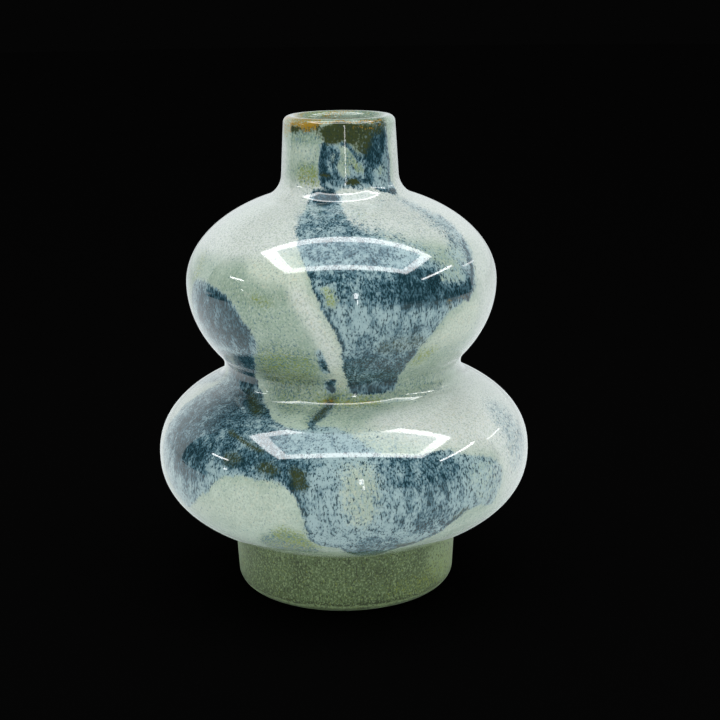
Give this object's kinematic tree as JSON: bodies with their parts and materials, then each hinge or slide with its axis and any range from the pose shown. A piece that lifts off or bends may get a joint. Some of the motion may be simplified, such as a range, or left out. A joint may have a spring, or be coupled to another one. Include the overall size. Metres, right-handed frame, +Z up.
{
  "type": "bud vase",
  "caption": "Glazed stoneware bud vase: two rounded bulbs stacked on a round foot, with a short straight neck that holds a few flower stems.",
  "frame": {"origin": "centre of the circle that the foot stands on, at ground level", "axes": "+Z up along the vase's axis, towards the mouth; X and Y are free, because the form is turned"},
  "size_m": [0.126, 0.126, 0.16],
  "materials": {
    "foot_glaze": "satin green glaze, finely mottled, bare at the standing ring",
    "lower_bulb_glaze": "glossy reactive glaze, pale mint broken by streaked blue and teal",
    "upper_bulb_glaze": "glossy reactive glaze, pale mint broken by streaked blue and teal",
    "neck_glaze": "glossy reactive glaze, olive and ochre at the lip over mint and blue"
  },
  "bodies": {
    "root": {"foot": "foot_glaze", "lower_bulb": "lower_bulb_glaze", "upper_bulb": "upper_bulb_glaze", "neck": "neck_glaze"}
  },
  "joints": []
}
